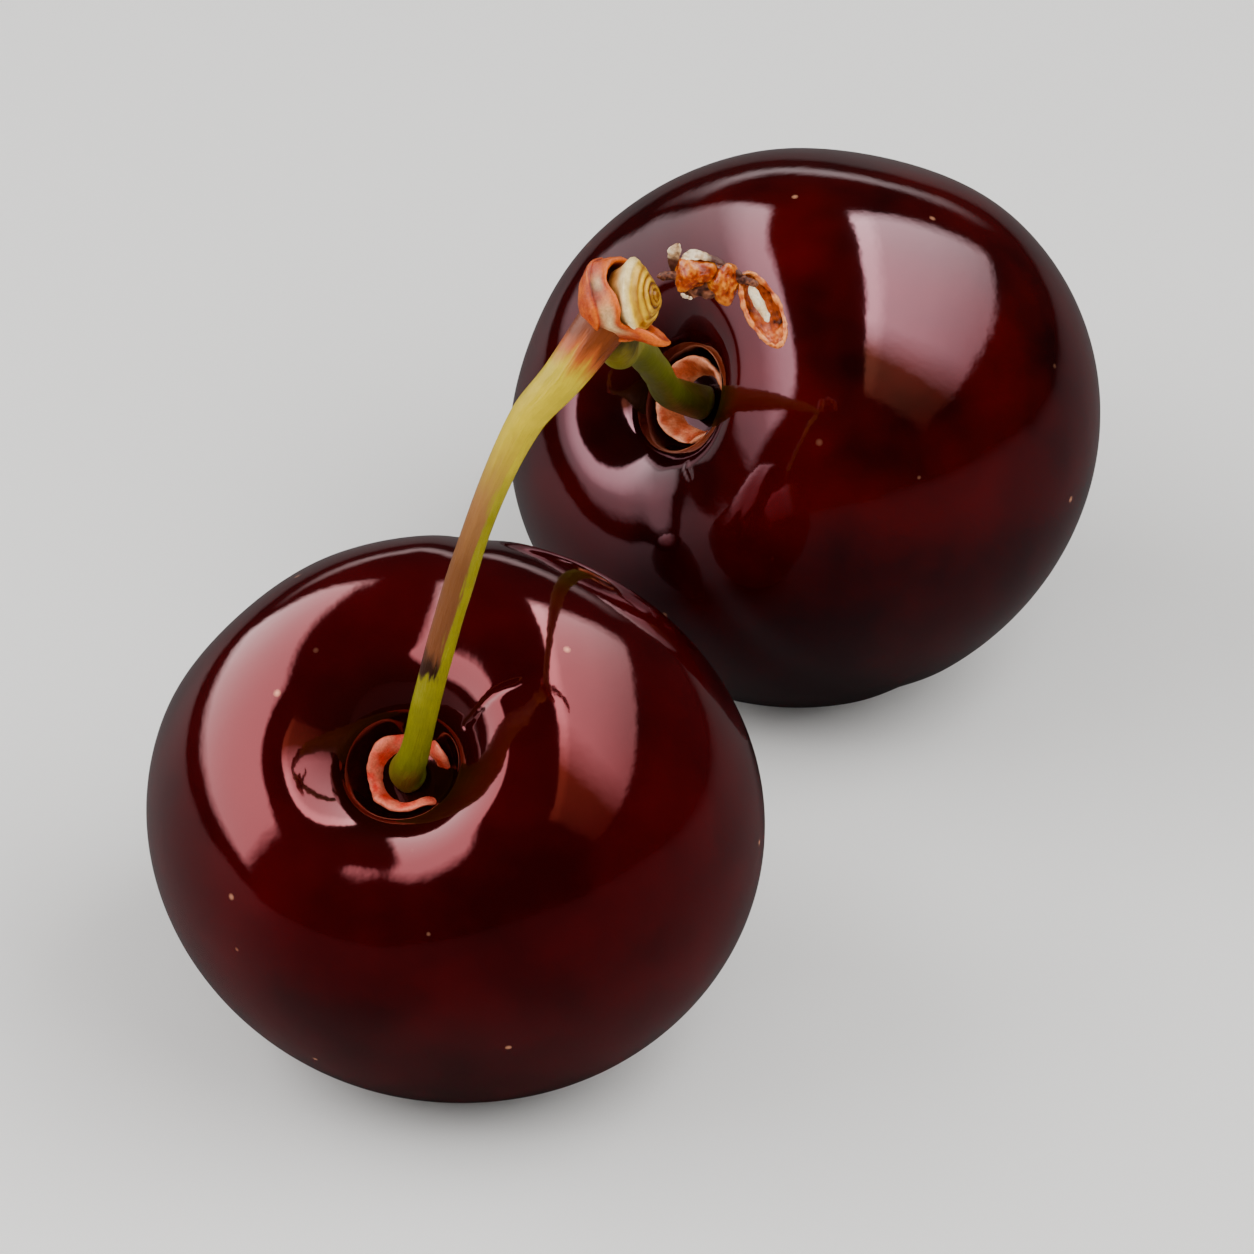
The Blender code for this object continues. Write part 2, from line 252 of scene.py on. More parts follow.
def press_groove(piece, on_line, depth, reach, size):
    """Press the points on a line a little towards the fruit's middle."""
    chosen = select_points(piece, on_line)
    bpy.ops.transform.resize(value=(1 - depth / size,) * 3, center_override=(0, 0, 0),
                             use_proportional_edit=True, proportional_edit_falloff="SMOOTH",
                             proportional_size=reach)
    return chosen


def furthest(piece, way):
    """In edit mode, the place of the point that lies furthest out in one direction."""
    shape = bmesh.from_edit_mesh(piece.data)
    return max(shape.verts, key=lambda point: point.co.dot(way)).co.copy()


def dent(piece, direction, depth, reach):
    """Press a shallow dent into the side that faces a direction."""
    way = direction.normalized()
    pull(piece, furthest(piece, way), way * -depth, reach)


# %% Finer, settled, and with numbers stored on its points


def subdivide_surface(piece, levels):
    """Make a piece finer and rounder, and apply it."""
    pick(piece)
    smooth = piece.modifiers.new("finer", "SUBSURF")
    smooth.levels = levels
    smooth.render_levels = levels
    bpy.ops.object.modifier_apply(modifier=smooth.name)


def settle(piece, place):
    """Put a piece in its place and write the place into its mesh."""
    pick(piece)
    piece.matrix_world = place
    bpy.ops.object.transform_apply(location=True, rotation=True, scale=True)


def note(piece, title, values):
    """Store one number on each point, which a material can read back by its title."""
    layer = piece.data.attributes.new(title, "FLOAT", "POINT")
    layer.data.foreach_set("value", np.asarray(values, np.float32))


def note_turn(piece):
    """Store how far each point is from the turning axis and how high it is, in millimetres."""
    object_mode()
    spots = spots_of(piece) / MM
    note(piece, "radius", np.hypot(spots[:, 0], spots[:, 1]))
    note(piece, "height", spots[:, 2])


# %% [markdown]
# ## Both fruits
# The two fruits have the same outline and differ in width, in how far they are pressed flat, and in
# their dents. A fine crease in the shoulder, where the skin was folded while it grew, is pressed in
# when the mesh is finer, and its edges are smoothed so that they don't look cut. What would lie below
# the floor is cut away last, which leaves the small foot that the fruit stands on.

# %% The crease and the foot
CREASE_HALF = 0.06 * MM     # points this close to the crease's line are pressed in
CREASE_EASE = 0.5 * MM      # and points this close are smoothed
CREASE_REACH = 0.30 * MM


def press_crease(piece, half, crease):
    """Press a wavy line into the shoulder: (its way from the axis, from, to and depth in mm)."""
    way, start, end, depth = crease
    across = Vector((-math.sin(way), math.cos(way), 0))
    along = Vector((math.cos(way), math.sin(way), 0))

    def by_crease(p, margin):
        run = p.dot(along) / MM
        wander = 0.18 * MM * math.sin(run * 1.3)
        return p.z > 0 and start < run < end and abs(p.dot(across) - wander) < margin

    edit(piece)
    found = press_groove(piece, lambda p: by_crease(p, CREASE_HALF), depth * MM, CREASE_REACH, half)
    select_points(piece, lambda p: by_crease(p, CREASE_EASE))
    bpy.ops.mesh.vertices_smooth(factor=0.5, repeat=2)
    print(piece.name, "points on the crease:", found)


def cut_foot(piece):
    """Cut away what would lie below the floor, and close the cut."""
    edit(piece)
    take_all()
    bpy.ops.mesh.bisect(plane_co=(0, 0, 0), plane_no=(0, 0, 1), clear_inner=True, use_fill=True)


# %% Model both fruits
SUTURE_DIP = 0.55 * MM      # how far the shoulder sinks over the suture, on both sides
SUTURE_DEPTH = 0.2 * MM     # the groove down one side


def model_fruit(name, width, depth, place, dents, crease):
    """Dents are (direction, depth and reach in millimetres)."""
    piece = turn_outline(name, fruit_outline(width / 2), TURN_STEPS)
    half = width / 2 * MM
    take_all()
    bpy.ops.transform.resize(value=(1, depth / width, 1))
    for side in (1, -1):
        pull(piece, Vector((0, side * half * 0.47, CROWN * MM)), Vector((0, 0, -SUTURE_DIP)), 6 * MM,
             within=SHARP_PULL * 2)
    press_groove(piece, lambda p: abs(p.x) < 0.1 * MM and p.y > 5.0 * MM, SUTURE_DEPTH, 1.8 * MM, half)
    for direction, deep, reach in dents:
        dent(piece, Vector(direction), deep * MM, reach * MM)
    subdivide_surface(piece, 2)
    press_crease(piece, half, crease)
    note_turn(piece)
    settle(piece, place)
    cut_foot(piece)
    pick(piece)
    bpy.ops.object.shade_smooth_by_angle(angle=math.radians(50))
    print(name, "faces:", len(piece.data.polygons))
    return piece


cherry_front = model_fruit(
    "ripe_cherry_front", 28.8, 26.2, front_place,
    dents=(((0.8, 0.3, 0.5), 0.30, 7.0), ((-0.7, 0.6, 0.3), 0.25, 6.0), ((0.2, -0.9, 0.2), 0.35, 8.0)),
    crease=(math.radians(34), 3.6, 7.0, 0.17))
cherry_back = model_fruit(
    "ripe_cherry_back", 29.6, 27.0, back_place,
    dents=(((0.7, -0.5, 0.4), 0.35, 7.0), ((-0.5, -0.8, 0.1), 0.30, 7.0), ((0.1, 0.9, 0.5), 0.25, 6.0)),
    crease=(math.radians(106), 3.9, 5.0, 0.05))

# %% [markdown]
# ## The skin
# Ripe skin is so full of dark red that it looks almost black, and a coat of wax on top gives it a hard,
# clear shine. Two layers make that: a deep colour with a broad, slightly red reflection, and a clear
# coat over it. Small pale pores are sprinkled over the skin, and the colour is never quite even.

# %% Helpers for node materials
BLACK = (0, 0, 0)
WHITE = (1, 1, 1)


def grey(level):
    """A grey from 0, black, to 1, white; a light's cloth may also go above 1."""
    return (level, level, level)


def new_material(name):
    """A new material, its node tree and its shader."""
    material = bpy.data.materials.new(name)
    material.use_nodes = True
    tree = material.node_tree
    return material, tree, tree.nodes["Principled BSDF"]


def add_node(tree, kind, **settings):
    """Add a node; a setting named after a socket fills it, any other is a property of the node."""
    node = tree.nodes.new(kind)
    for key, value in settings.items():
        socket = node.inputs.get(key.replace("_", " ").title())
        if socket is None:
            setattr(node, key, value)
        else:
            socket.default_value = value
    return node


def ramp(tree, source, stops):
    """A colour ramp from (position, colour) stops, fed by a socket."""
    node = tree.nodes.new("ShaderNodeValToRGB")
    elements = node.color_ramp.elements
    while len(elements) < len(stops):
        elements.new(0.5)
    for element, (position, colour) in zip(elements, stops):
        element.position = position
        element.color = (*colour, 1)
    tree.links.new(source, node.inputs["Fac"])
    return node.outputs["Color"]


def mix(tree, share, first, second, blend="MIX"):
    """Mix two colours, each a socket or a colour."""
    node = tree.nodes.new("ShaderNodeMix")
    node.data_type = "RGBA"
    node.blend_type = blend
    for socket, value in ((node.inputs[0], share), (node.inputs[6], first), (node.inputs[7], second)):
        if isinstance(value, (int, float)):
            socket.default_value = value
        elif isinstance(value, tuple):
            socket.default_value = (*value, 1)
        else:
            tree.links.new(value, socket)
    return node.outputs[2]


def times(tree, first, second, share=1.0):
    """Darken one colour by another."""
    return mix(tree, share, first, second, "MULTIPLY")


# %% Numbers, noise and relief


def own_place(tree):
    """The place on the piece itself, for a pattern that stays where it is on the surface."""
    return tree.nodes.new("ShaderNodeTexCoord").outputs["Object"]


def read(tree, title):
    """The number that was stored on the points under this title."""
    return add_node(tree, "ShaderNodeAttribute", attribute_name=title).outputs["Fac"]


def scaled(tree, source, factor, plus=0.0):
    """A number times a factor, plus a number."""
    node = add_node(tree, "ShaderNodeMath", operation="MULTIPLY_ADD")
    tree.links.new(source, node.inputs[0])
    node.inputs[1].default_value = factor
    node.inputs[2].default_value = plus
    return node.outputs[0]


def added(tree, first, second):
    """Two numbers added up."""
    node = add_node(tree, "ShaderNodeMath", operation="ADD")
    tree.links.new(first, node.inputs[0])
    tree.links.new(second, node.inputs[1])
    return node.outputs[0]


def cloudy(tree, place, scale, detail, roughness):
    """Soft noise from 0 to 1; the scale is about how many lumps go in a metre."""
    node = add_node(tree, "ShaderNodeTexNoise", scale=scale, detail=detail, roughness=roughness)
    tree.links.new(place, node.inputs["Vector"])
    return node.outputs["Fac"]


def relief(tree, shader, height, strength, distance):
    """Let a pattern stand up from the surface by a distance in metres."""
    bump = add_node(tree, "ShaderNodeBump", strength=strength, distance=distance)
    tree.links.new(height, bump.inputs["Height"])
    tree.links.new(bump.outputs["Normal"], shader.inputs["Normal"])
    return bump.outputs["Normal"]


# %% The skin's material
PORE_COLOUR = (0.66, 0.30, 0.17)


def pores(tree, place):
    """White in a small dot inside some of the cells of a cell pattern, and black elsewhere."""
    cells = add_node(tree, "ShaderNodeTexVoronoi", scale=330.0, randomness=1.0)
    tree.links.new(place, cells.inputs["Vector"])
    dot = ramp(tree, cells.outputs["Distance"], ((0.010, WHITE), (0.070, BLACK)))
    chosen = ramp(tree, cells.outputs["Color"], ((0.28, BLACK), (0.50, WHITE)))
    return times(tree, dot, chosen)


def painted_shade_below(tree, place):
    """Painted shade: dark near the floor and white at the top of the fruit."""
    spot = tree.nodes.new("ShaderNodeSeparateXYZ")
    tree.links.new(place, spot.inputs["Vector"])
    return ramp(tree, scaled(tree, spot.outputs["Z"], 40.0), ((0.15, grey(0.15)), (0.85, WHITE)))


def skin_material(name, dark, red, funnel, sheen_tint, shaded_below=False):
    """Glossy skin, which can get painted shade, a darker red towards the floor."""
    material, tree, shader = new_material(name)
    place = own_place(tree)
    body = ramp(tree, cloudy(tree, place, 140.0, 3.0, 0.55), ((0.35, dark), (0.72, red)))
    near_stem = ramp(tree, scaled(tree, read(tree, "radius"), 0.1), ((0.20, WHITE), (0.52, BLACK)))
    upper = ramp(tree, scaled(tree, read(tree, "height"), 0.1), ((0.3, BLACK), (0.6, WHITE)))
    body = mix(tree, times(tree, near_stem, upper), body, funnel)
    colour = mix(tree, pores(tree, place), body, PORE_COLOUR)
    # Painted shade on the back fruit: its lower part is darkened towards the floor.
    if shaded_below:
        colour = times(tree, colour, painted_shade_below(tree, place))
    tree.links.new(colour, shader.inputs["Base Color"])

    ripple = relief(tree, shader, cloudy(tree, place, 300.0, 4.0, 0.5), 0.08, 0.0004)
    tree.links.new(ripple, shader.inputs["Coat Normal"])
    shader.inputs["Roughness"].default_value = 0.07
    shader.inputs["Specular IOR Level"].default_value = 1.0
    shader.inputs["Specular Tint"].default_value = (*sheen_tint, 1)
    shader.inputs["Coat Weight"].default_value = 0.10
    shader.inputs["Coat Roughness"].default_value = 0.03
    shader.inputs["Coat IOR"].default_value = 1.45
    return material


front_skin = skin_material("dark_red_skin", (0.014, 0.0002, 0.0005), (0.045, 0.0008, 0.0016),
                           (0.010, 0.0012, 0.0006), (1.0, 0.22, 0.25))
back_skin = skin_material("darker_skin", (0.009, 0.0002, 0.0003), (0.062, 0.0006, 0.0008),
                          (0.007, 0.0006, 0.0004), (1.0, 0.43, 0.52), shaded_below=True)
cherry_front.data.materials.append(front_skin)
cherry_back.data.materials.append(back_skin)
print("skin materials:", front_skin.name, back_skin.name)

# %% [markdown]
# ## The stalks
# A stalk is a thin green rod that bends in the air, thick where it leaves the fruit, slim in the middle
# and flared where it joins the spur. A curve with a round bevel follows a bend without any kinks, and
# a radius on each of its points makes it swell and slim. Once it is a mesh, every point can remember
# how far along the stalk it lies and which side it is on, so that the colours can follow the stalk.

# %% A smooth route


def smooth_route(stops, count):
    """Evenly spaced points along a smooth curve through the stops."""
    ends = [stops[0]] + stops + [stops[-1]]
    leads = [(after - before).normalized() for before, after in zip(ends, ends[2:])]
    fine = [stops[0]]
    for number in range(len(stops) - 1):
        start, end = stops[number], stops[number + 1]
        reach = (end - start).length / 3
        fine += interpolate_bezier(start, start + leads[number] * reach,
                                   end - leads[number + 1] * reach, end, 16)[1:]
    steps = [(b - a).length for a, b in zip(fine, fine[1:])]
    spacing = sum(steps) / (count - 1)
    route = [fine[0]]
    walked = 0.0
    for start, end, step in zip(fine, fine[1:], steps):
        while len(route) < count - 1 and walked + step >= spacing * len(route):
            route.append(start.lerp(end, (spacing * len(route) - walked) / step))
        walked += step
    route.append(fine[-1])
    return route


# %% The stalks' routes
STALK_SEAT = 2.65       # from the spur's centre to where a stalk meets the cuff, in millimetres
STALK_LEAD = 1.6        # a stalk's last straight stretch before the cuff
STALK_GRIP = 1.7        # and how far it then runs on inside the cuff
STALK_ROOT = 0.45       # how deep a stalk stands in the funnel's floor
ROUTE_POINTS = 90
cuff_low, cuff_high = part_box("bract_cuff")
SPUR_AXIS = Vector((0.918, -0.251, 0.307)).normalized()
SPUR_AHEAD = 0.95       # how far the spur's centre lies ahead of the cuff's middle
spur_centre = (cuff_low + cuff_high) / 2 + SPUR_AXIS * SPUR_AHEAD * MM
print("spur centre in mm:", [round(v / MM, 2) for v in spur_centre])


def stalk_route(place, seat_way, bows):
    """From just under the ring to just inside the cuff, through the same bows as the model's stalk."""
    axis = (place.to_3x3() @ Vector((0, 0, 1))).normalized()
    seat_way = seat_way.normalized()
    base = place.translation + axis * (CROWN - FUNNEL_DEPTH + 0.3) * MM
    top = spur_centre + seat_way * STALK_SEAT * MM
    stops = [base - axis * STALK_ROOT * MM, base + axis * 0.4 * MM]
    stops += [base.lerp(top, share) + Vector(bow) * MM for share, bow in bows]
    stops += [top + seat_way * STALK_LEAD * MM, top - seat_way * STALK_GRIP * MM]
    return smooth_route(stops, ROUTE_POINTS)


front_route = stalk_route(front_place, Vector((-0.60, -0.46, -0.66)), (
    (0.10, (-0.5, -1.7, 0.0)), (0.27, (-1.2, -2.7, 0.0)), (0.50, (-1.8, -3.0, 0.2)),
    (0.72, (-2.0, -2.6, 0.3)), (0.87, (-1.5, -1.5, 0.3))))
back_route = stalk_route(back_place, Vector((-0.02, 0.42, -0.90)), (
    (0.09, (-1.1, 0.2, 0.1)), (0.26, (-1.0, 0.4, 0.3)), (0.52, (-0.7, 0.4, 0.3)),
    (0.77, (-0.4, 0.2, 0.1))))

# %% Model a stalk along its route


def stalk_radius(share, base, middle, flare):
    """Thick at the foot, slim in the middle and flared at the spur, in millimetres."""
    foot = max(1 - share / 0.22, 0.0) ** 2
    swell = max((share - 0.65) / 0.35, 0.0) ** 1.6
    return middle + (base - middle) * foot + (flare - middle) * swell


def model_stalk(name, route, base, middle, flare, seed):
    """A curve with a round section that swells and slims along it, made a mesh."""
    bpy.ops.object.select_all(action="DESELECT")
    bpy.ops.curve.primitive_bezier_circle_add(radius=MM)
    section = bpy.context.object
    bpy.ops.curve.primitive_nurbs_path_add()
    rod = bpy.context.object
    rod.name = name
    rod.data.splines.clear()
    line = rod.data.splines.new("POLY")
    line.points.add(len(route) - 1)
    for number, (point, spot) in enumerate(zip(line.points, route)):
        share = number / (len(route) - 1)
        wobble = 1 + 0.06 * noise.noise(Vector((share * 9, seed, 0)))
        point.co = (*spot, 1)
        point.radius = stalk_radius(share, base, middle, flare) * wobble
    section.data.resolution_u = 6
    rod.data.bevel_mode = "OBJECT"
    rod.data.bevel_object = section
    rod.data.use_fill_caps = True
    pick(rod)
    bpy.ops.object.convert(target="MESH")
    bpy.data.objects.remove(section)
    edit(rod)
    close_seams()
    settle(rod, Matrix.Identity(4))
    subdivide_surface(rod, 1)
    bpy.ops.object.shade_smooth_by_angle(angle=math.radians(60))
    return rod


# %% Let each point of a stalk remember its place on the route


def remember_route(piece, route, towards):
    """Store on each point its share of the way along the route, and how much it faces one way."""
    stops = np.array([tuple(spot) for spot in route])
    spots = spots_of(piece)
    nearest = np.array([np.argmin(((stops - spot) ** 2).sum(axis=1)) for spot in spots])
    ahead = np.gradient(stops, axis=0)
    ahead /= np.linalg.norm(ahead, axis=1)[:, None]
    off = spots - stops[nearest]
    run = (off * ahead[nearest]).sum(axis=1)
    length = np.linalg.norm(np.diff(stops, axis=0), axis=1).sum()
    along = nearest / (len(stops) - 1) + run / length
    off -= ahead[nearest] * run[:, None]
    off /= np.maximum(np.linalg.norm(off, axis=1), 1e-9)[:, None]
    facing = off @ np.array(towards.normalized())
    note(piece, "along", along)
    note(piece, "facing", facing)
    print(piece.name, "length in mm:", round(length / MM, 1))


stalk_front = model_stalk("green_stalk_front", front_route, 0.86, 0.66, 1.2, 3.1)
stalk_back = model_stalk("green_stalk_back", back_route, 0.86, 0.72, 0.95, 7.7)
remember_route(stalk_front, front_route, Vector((-0.85, -0.3, 0.35)))
remember_route(stalk_back, back_route, Vector((-0.4, -0.5, 0.75)))

# %% [markdown]
# ## Stalk colours
# Near the fruit a stalk is fresh green. Higher up, the side that met the weather turns brown in long
# streaks, and the flare is straw yellow with rusty edges. Those streaks run along the stalk, so the
# noise is stretched: its coordinates are the stored share and side, not plain places in space.

# %% The stalks' materials


def streaks_along(tree, along, facing):
    """Noise that is stretched along the stalk."""
    stretched = tree.nodes.new("ShaderNodeCombineXYZ")
    tree.links.new(along, stretched.inputs["X"])
    tree.links.new(facing, stretched.inputs["Y"])
    squeeze = add_node(tree, "ShaderNodeMapping")
    squeeze.inputs["Scale"].default_value = (7.0, 2.2, 1.0)
    tree.links.new(stretched.outputs["Vector"], squeeze.inputs["Vector"])
    return cloudy(tree, squeeze.outputs["Vector"], 1.6, 5.0, 0.6)


def stalk_material(name, low_green, high_green, streaks, streak_from, flare_colour, joint, rust):
    """Green, then weathered in streaks, then straw; the joint is where along it meets the cuff."""
    material, tree, shader = new_material(name)
    along, facing, place = read(tree, "along"), read(tree, "facing"), own_place(tree)
    streak = streaks_along(tree, along, facing)
    ragged = added(tree, along, scaled(tree, streak, 0.08, -0.04))
    green = ramp(tree, ragged, (
        (0.0, low_green), (0.35, high_green), (0.66, high_green), (0.78, flare_colour),
        (joint - 0.060, flare_colour), (joint - 0.026, rust),
        (joint - 0.004, tuple(part * 0.4 for part in rust))))
    fleck = ramp(tree, cloudy(tree, place, 900.0, 3.0, 0.6), ((0.3, grey(0.35)), (0.7, WHITE)))
    flecked = times(tree, green, fleck, 0.35)

    leaning = added(tree, scaled(tree, streak, 1.6, -0.80), facing)
    weather_side = ramp(tree, leaning, ((0.0, BLACK), (0.22, WHITE)))
    weather_run = ramp(tree, ragged, (
        (streak_from - 0.012, BLACK), (streak_from, WHITE), (0.66, grey(0.9)), (0.80, BLACK)))
    brown = ramp(tree, ragged, (
        (streak_from + 0.018, (0.030, 0.007, 0.002)), (streak_from + 0.045, streaks), (0.55, streaks),
        (0.70, (0.34, 0.135, 0.040))))
    colour = mix(tree, times(tree, weather_side, weather_run), flecked, brown)
    tree.links.new(colour, shader.inputs["Base Color"])
    relief(tree, shader, streak, 0.7, 0.00020)
    shader.inputs["Roughness"].default_value = 0.42
    shader.inputs["Specular IOR Level"].default_value = 0.22
    return material


stalk_front.data.materials.append(stalk_material(
    "front_stalk_green", (0.110, 0.125, 0.001), (0.270, 0.230, 0.001), (0.165, 0.045, 0.012), 0.34,
    (0.58, 0.42, 0.004), 0.962, (0.40, 0.075, 0.008)))
stalk_back.data.materials.append(stalk_material(
    "back_stalk_green", (0.075, 0.085, 0.0004), (0.130, 0.145, 0.0006), (0.120, 0.090, 0.005), 0.97,
    (0.20, 0.19, 0.001), 0.972, (0.17, 0.12, 0.002)))

# %% [markdown]
# ## The torn collars
# When the flower fell it left a collar of skin and torn tissue at the bottom of the funnel, and the
# stalk stands in it. It is a small flared cup with a rolled lip, coral red, with painted shade making it
# brown within and painted highlights on the lip.
# Its outline is spun like the fruit's. Then the lip is pulled down where it has torn away.

# %% Roughen a surface and find its hollows


def roughen(piece, size, height):
    """Push the surface in and out with a soft cloud texture; size is how wide its lumps are."""
    pick(piece)
    cloud = bpy.data.textures.new(piece.name + "_cloud", "CLOUDS")
    cloud.noise_scale = size * MM
    cloud.noise_depth = 2
    push = piece.modifiers.new("roughen", "DISPLACE")
    push.texture = cloud
    push.texture_coords = "LOCAL"
    push.strength = height * 2 * MM
    push.mid_level = 0.5
    bpy.ops.object.modifier_apply(modifier=push.name)


def weather(piece, coarse, fine):
    """Roughen a piece twice, with broad lumps before it is made finer and small ones after."""
    roughen(piece, *coarse)
    subdivide_surface(piece, 1)
    roughen(piece, *fine)


def note_hollows(piece):
    """Store how hollow (above 0.5) or how ridged (below 0.5) the surface is at each point; materials paint
    shade in the hollows from it, and some paint highlights on the ridges.
    """
    object_mode()
    shape = bmesh.new()
    shape.from_mesh(piece.data)
    shape.normal_update()
    hollow = []
    for point in shape.verts:
        ends = [edge.other_vert(point).co for edge in point.link_edges]
        middle = sum(ends, Vector()) / max(len(ends), 1)
        reach = sum((end - point.co).length for end in ends) / max(len(ends), 1)
        hollow.append(0.5 + 1.5 * (middle - point.co).dot(point.normal) / max(reach, 1e-9))
    for _ in range(2):
        hollow = [(hollow[point.index] + sum(hollow[edge.other_vert(point).index]
                                             for edge in point.link_edges))
                  / (1 + len(point.link_edges)) for point in shape.verts]
    shape.free()
    note(piece, "hollow", hollow)


# %% Place, finish and hand over a small piece


def polar(radius, around, height):
    """A place from millimetres out, degrees round from x, and millimetres up."""
    turn = math.radians(around)
    return Vector((radius * math.cos(turn), radius * math.sin(turn), height)) * MM


def finish_piece(piece, place, node, material, crease=60):
    """Smooth a small piece, put it in place, give it its finish and let it stand for its node."""
    note_hollows(piece)
    settle(piece, place)
    bpy.ops.object.shade_smooth_by_angle(angle=math.radians(crease))
    piece.data.materials.append(material)
    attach(piece, "root")
    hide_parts(node)
    print(piece.name, "faces:", len(piece.data.polygons))


# %% Dry and torn tissue


def tissue_material(name, deep, body, light, fibre_size, gloss=0.45, spread=0.25, inner=None, rusty=None,
                    specular=0.28):
    """Painted shade darkens the hollows and painted highlights lighten the ridges, with fine fibres (their
    size in mm) over both.

    The stored number "inner" can bring in a second, paler layer, and "paper" can turn rust into paper.
    """
    material, tree, shader = new_material(name)
    place = own_place(tree)
    blotch = cloudy(tree, place, 1100.0, 4.0, 0.6)
    # Painted shade in the hollows and painted highlights on the ridges, mixed with blotches from the cloud.
    shade = added(tree, scaled(tree, read(tree, "hollow"), 1.0, -spread / 2),
                  scaled(tree, blotch, spread * 2, -spread / 2))
    colour = ramp(tree, shade, ((0.36, light), (0.50, body), (0.68, deep)))
    if inner:
        colour = mix(tree, read(tree, "inner"), colour, inner)
    if rusty:
        colour = mix(tree, read(tree, "paper"), rusty, colour)
    fibre = cloudy(tree, place, 1.0 / (fibre_size * MM), 4.0, 0.65)
    speck = ramp(tree, fibre, ((0.30, (0.55, 0.50, 0.45)), (0.62, WHITE)))
    tree.links.new(times(tree, colour, speck, 0.7), shader.inputs["Base Color"])
    relief(tree, shader, fibre, 0.5, 0.00008)
    shader.inputs["Roughness"].default_value = gloss
    shader.inputs["Specular IOR Level"].default_value = specular
    return material


# %% Model a collar
SLIM_COLLAR = ((1.22, 7.50), (1.30, 8.05), (1.44, 8.42), (1.62, 8.72), (1.80, 8.86), (1.93, 8.82),
               (1.94, 8.70), (1.83, 8.56), (1.70, 8.30), (1.62, 7.95), (1.60, 7.50), (1.22, 7.50))
CUP_COLLAR = ((1.18, 7.50), (1.28, 7.90), (1.48, 8.30), (1.72, 8.70), (1.94, 9.02), (2.07, 9.08),
              (2.15, 8.98), (2.08, 8.78), (1.92, 8.45), (1.76, 8.00), (1.70, 7.50), (1.18, 7.50))
LIP_RADIUS, LIP_HEIGHT = 2.0, 8.8     # where about a collar's lip lies
COLLAR_STEPS = 60


def model_collar(name, outline, place, node, tears, material):
    """Tears are (degrees round, millimetres down, millimetres of reach)."""
    piece = turn_outline(name, outline, COLLAR_STEPS)
    for around, drop, reach in tears:
        spot = polar(LIP_RADIUS, around, LIP_HEIGHT)
        pull(piece, spot, Vector((0, 0, -drop * MM)), reach * MM, within=0.5 * MM)
    weather(piece, (0.9, 0.20), (0.25, 0.035))
    finish_piece(piece, place, node, material)


collar_front_finish = tissue_material("coral_tissue", (0.28, 0.006, 0.003), (0.95, 0.045, 0.022),
                                      (0.95, 0.20, 0.11), 0.12, gloss=0.28)
collar_back_finish = tissue_material("salmon_tissue", (0.12, 0.010, 0.003), (0.55, 0.080, 0.022),
                                     (0.80, 0.26, 0.12), 0.12, gloss=0.32)
model_collar("torn_collar_front", SLIM_COLLAR, front_place, "receptacle_front",
             ((-10, 1.3, 1.1), (84, 0.9, 0.9), (205, 0.35, 0.5), (150, -0.12, 0.7)), collar_front_finish)
model_collar("torn_collar_back", CUP_COLLAR, back_place, "receptacle_back",
             ((60, 0.30, 0.9), (130, 0.20, 0.6), (230, -0.15, 1.2)), collar_back_finish)

# %% [markdown]
# ## The spur
# The two stalks grew out of one bud. What is left of it is a swollen cuff of bud scales, a ringed knob
# where the spur broke off the twig, and a crumpled row of dry scales that still hangs on by a thread.
# Real scales are irregular, so each piece starts as a simple body and is then pulled, pressed and
# roughened until nothing of the simple body shows.

# %% The cuff's outline, and the patch where its inner layer shows
spur_place = frame_at(spur_centre, SPUR_AXIS, Vector((0, 0, 1)))
CUFF_OUTLINE = ((0.0, -1.75), (0.65, -1.70), (1.20, -1.52), (1.62, -1.22), (1.88, -0.92), (1.98, -0.70),
                (1.96, -0.58), (1.87, -0.54), (1.84, -0.40), (1.86, -0.05), (1.84, 0.25), (1.74, 0.42),
                (1.62, 0.38), (1.52, 0.18), (1.47, -0.30), (0.8, -0.42), (0.0, -0.42))
SPUR_STEPS = 48
PATCH_AT = 160          # degrees round the spur, the middle of the pale inner layer that shows
PATCH_HALF = 52         # and how many degrees it reaches to each side
PATCH_FADE = 22         # the last of them, over which it fades
cuff = turn_outline("bud_scale_cuff", CUFF_OUTLINE, SPUR_STEPS)
object_mode()
cuff_spots = spots_of(cuff) / MM
cuff_heights = cuff_spots[:, 2]
round_spur = np.degrees(np.arctan2(cuff_spots[:, 1], cuff_spots[:, 0]))
off_patch = np.abs((round_spur - PATCH_AT + 180) % 360 - 180)
pale_side = np.clip((PATCH_HALF - off_patch) / PATCH_FADE, 0, 1)
pale_height = np.clip((cuff_heights + 0.48) / 0.14, 0, 1) * np.clip((0.22 - cuff_heights) / 0.25, 0, 1)
patchy = np.clip([0.75 + 1.6 * noise.noise(Vector(spot) * 1.7) for spot in cuff_spots], 0, 1)
note(cuff, "inner", pale_height * pale_side * patchy)
print("points in the pale patch:", int((pale_height * pale_side > 0).sum()))

# %% Tear the cuff's edge
HEM_AT = 238            # degrees round the spur, where the outer layer is torn into a curl
edit(cuff)
hem = polar(1.95, HEM_AT, 0.3)
pull(cuff, hem, Vector((0.10, 0.02, 1.35)) * MM, 1.5 * MM, within=0.45 * MM)
pull(cuff, hem + Vector((0.10, 0.02, 1.30)) * MM, Vector((-0.35, -0.40, 0.30)) * MM, 0.8 * MM)
for around, by, reach in ((100, (0, 0.15, -0.35), 1.2), (165, (-0.15, 0, 0.30), 0.9),
                          (200, (0.05, 0, -0.30), 0.7)):
    pull(cuff, polar(1.9, around, 0.4), Vector(by) * MM, reach * MM)
weather(cuff, (1.1, 0.16), (0.30, 0.035))
cuff_finish = tissue_material("orange_brown_bract", (0.050, 0.005, 0.001), (0.38, 0.034, 0.001),
                              (0.66, 0.125, 0.006), 0.14, gloss=0.30, inner=(0.86, 0.60, 0.27))
finish_piece(cuff, spur_place, "bract_cuff", cuff_finish)

